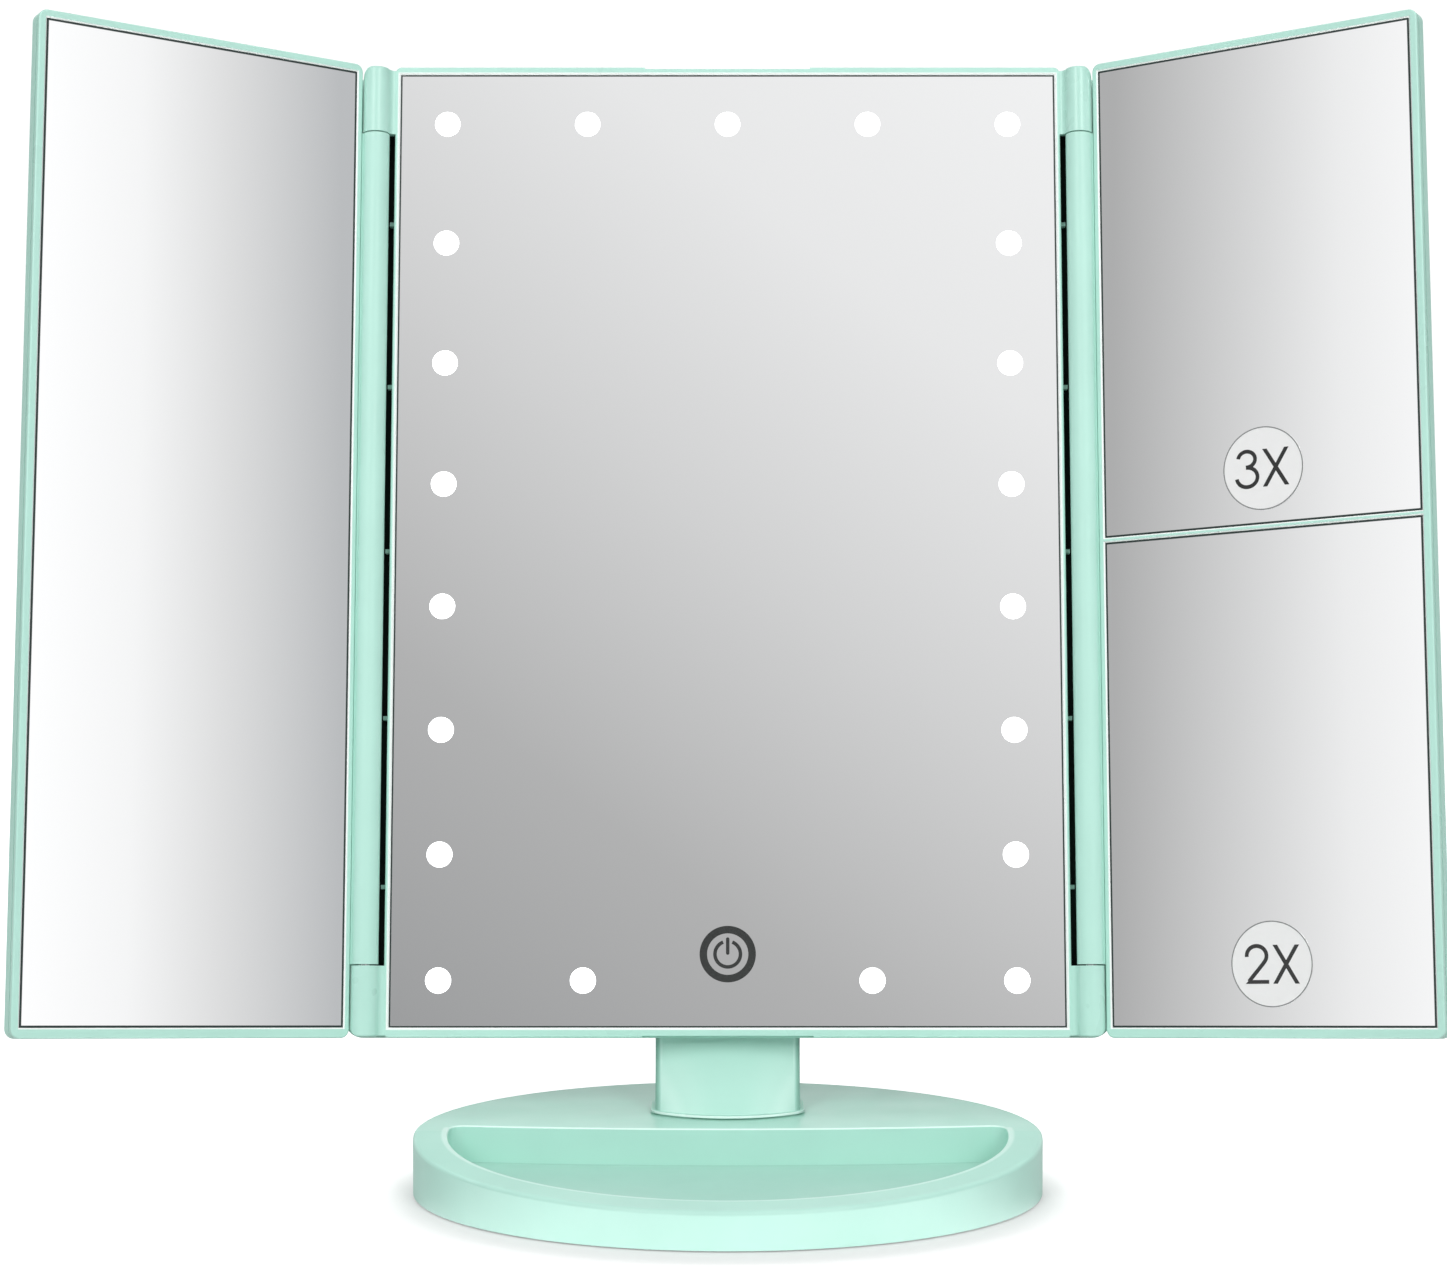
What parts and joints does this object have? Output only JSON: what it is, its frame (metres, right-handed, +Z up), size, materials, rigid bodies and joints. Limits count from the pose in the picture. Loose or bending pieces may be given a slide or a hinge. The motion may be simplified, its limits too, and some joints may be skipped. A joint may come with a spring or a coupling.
{
  "type": "trifold vanity mirror",
  "caption": "Free-standing trifold vanity mirror with lit tilting centre panel, two folding wings, one of them with magnifying mirrors, on an oval tray base.",
  "frame": {"origin": "middle of the oval base, on the surface it stands on", "axes": "+Z up, the user stands on the -Y side, +X to the right seen from the user"},
  "size_m": [0.3292, 0.1324, 0.2789],
  "materials": {
    "casing_mint": "satin moulded ABS",
    "black_plastic": "matte black ABS",
    "pad_rubber": "matte",
    "ballast_steel": "plain plate",
    "steel_hardware": "zinc plated",
    "bush_plastic": "natural acetal",
    "mirror_glass": "silvered glass",
    "diffuser_white": "milky light diffuser",
    "board_white": "white solder mask",
    "led_yellow": "phosphor",
    "board_green": "green solder mask",
    "chip_black": "epoxy",
    "electrode_copper": "copper foil",
    "foam_tape": "white foam",
    "label_white": "translucent film",
    "cell_wrap": "plain wrap",
    "lead_sleeve": "pvc"
  },
  "bodies": {
    "base": {"base_shell": "casing_mint", "base_bottom_cover": "black_plastic", "anti_slip_pad": "pad_rubber", "base_weight": "ballast_steel", "base_screws": "steel_hardware", "neck_column": "casing_mint", "neck_screws": "steel_hardware", "tilt_shaft": "steel_hardware", "shaft_collars": "steel_hardware"},
    "head": {"front_bezel": "casing_mint", "back_cover": "casing_mint", "inner_frame": "black_plastic", "case_screws": "steel_hardware", "board_screws": "steel_hardware", "wing_hinge_pins": "steel_hardware", "touch_spring": "steel_hardware", "battery_contacts": "steel_hardware", "usb_socket": "steel_hardware", "tilt_bush_left": "bush_plastic", "tilt_bush_right": "bush_plastic", "friction_washers": "bush_plastic", "centre_mirror": "mirror_glass", "light_diffuser": "diffuser_white", "led_board": "board_white", "led_chips": "led_yellow", "control_board": "board_green", "usb_board": "board_green", "board_chips": "chip_black", "touch_electrode": "electrode_copper", "battery_cells": "cell_wrap", "wire_leads": "lead_sleeve"},
    "left_wing": {"left_wing_shell": "casing_mint", "left_wing_rim": "casing_mint", "left_wing_mirror": "mirror_glass", "left_wing_tape": "foam_tape"},
    "right_wing": {"right_wing_shell": "casing_mint", "right_wing_rim": "casing_mint", "upper_3x_mirror": "mirror_glass", "lower_2x_mirror": "mirror_glass", "right_wing_tape": "foam_tape", "label_3x": "label_white", "label_2x": "label_white"},
    "battery_door": {"battery_door": "casing_mint"}
  },
  "joints": [
    {"name": "head_tilt", "type": "hinge", "parent": "base", "child": "head", "pos_m": [0, 0.02443, 0.0407], "axis": [-1, 0, 0], "range_deg": [-18, 64]},
    {"name": "left_wing_fold", "type": "hinge", "parent": "head", "child": "left_wing", "pos_m": [-0.0876, 0.01166, 0.03395], "axis": [0, 0.1848, 0.9828], "range_deg": [-31.7, 148.3]},
    {"name": "right_wing_fold", "type": "hinge", "parent": "head", "child": "right_wing", "pos_m": [0.0876, 0.01166, 0.03395], "axis": [0, -0.1848, -0.9828], "range_deg": [-31.7, 148.3]},
    {"name": "battery_door_lift", "type": "slide", "parent": "head", "child": "battery_door", "axis": [0, 0.9828, -0.1848], "range_m": [0, 0.02]}
  ]
}
